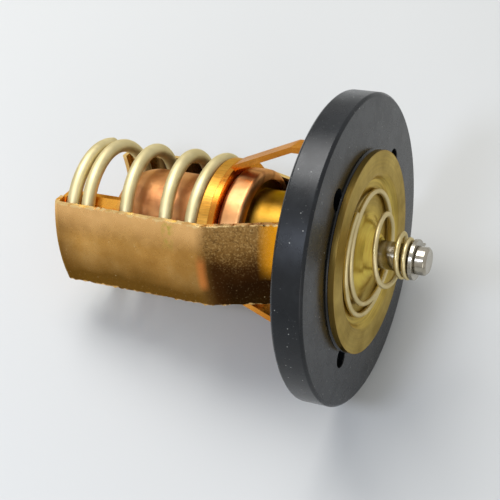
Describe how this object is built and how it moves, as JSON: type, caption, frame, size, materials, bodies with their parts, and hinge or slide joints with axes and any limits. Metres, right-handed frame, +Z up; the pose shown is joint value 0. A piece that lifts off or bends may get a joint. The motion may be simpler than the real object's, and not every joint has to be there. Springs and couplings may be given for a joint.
{
  "type": "engine thermostat",
  "caption": "Wax-driven valve for engine coolant: black moulded ring, brass valve disc, conical relief spring, copper strap yoke, wax motor and return spring, lying on its side.",
  "frame": {"origin": "centre of the moulded ring's front face, on the valve's axis", "axes": "+Z up as it lies on a flat surface; +X is the way the stem points, seen from above; the valve's axis leans 17.0 degrees up from +X; +Y is to the left looking along +X"},
  "size_m": [0.0664, 0.054, 0.053],
  "materials": {
    "black_moulding": "satin black moulded phenolic with light handling marks",
    "disc_brass": "pressed brass, satin, slightly dull",
    "stem_steel": "turned stainless steel, bright",
    "clip_steel": "stamped spring steel",
    "relief_wire": "stainless spring wire, warm grey",
    "return_wire": "zinc plated spring wire, pale yellow",
    "yoke_copper": "copper plated sheet, satin, with sheared edges",
    "bracket_copper": "copper plated sheet, bright edges",
    "seat_brass": "stamped brass, sheared rim",
    "cup_copper": "drawn copper, stained",
    "guide_brass": "turned brass, bright",
    "soft_rubber": "black rubber",
    "wax_fill": "wax filled with copper powder",
    "backup_white": "white low-friction plastic",
    "piston_steel": "ground stainless steel"
  },
  "bodies": {
    "fixed_frame": {"flange_ring": "black_moulding", "bracket": "bracket_copper", "spring_seat": "seat_brass", "motor_cup": "cup_copper", "motor_guide": "guide_brass", "diaphragm": "soft_rubber", "wax_charge": "wax_fill", "main_spring": "return_wire"},
    "lifting_yoke": {"yoke": "yoke_copper", "stem": "stem_steel", "retaining_clip": "clip_steel", "conical_spring": "relief_wire", "piston": "piston_steel", "backup_disc": "backup_white", "rubber_plug": "soft_rubber"},
    "valve": {"valve_disc": "disc_brass"}
  },
  "joints": [
    {"name": "valve_lift", "type": "slide", "parent": "fixed_frame", "child": "lifting_yoke", "axis": [0.9565, 0, 0.2917], "range_m": [0, 0.007], "stiffness_N_per_m": 2500, "springref_m": -0.003, "deforming": ["main_spring"]},
    {"name": "relief_lift", "type": "slide", "parent": "lifting_yoke", "child": "valve", "axis": [0.9565, 0, 0.2917], "range_m": [0, 0.003], "stiffness_N_per_m": 900, "springref_m": -0.001, "deforming": ["conical_spring"]}
  ]
}
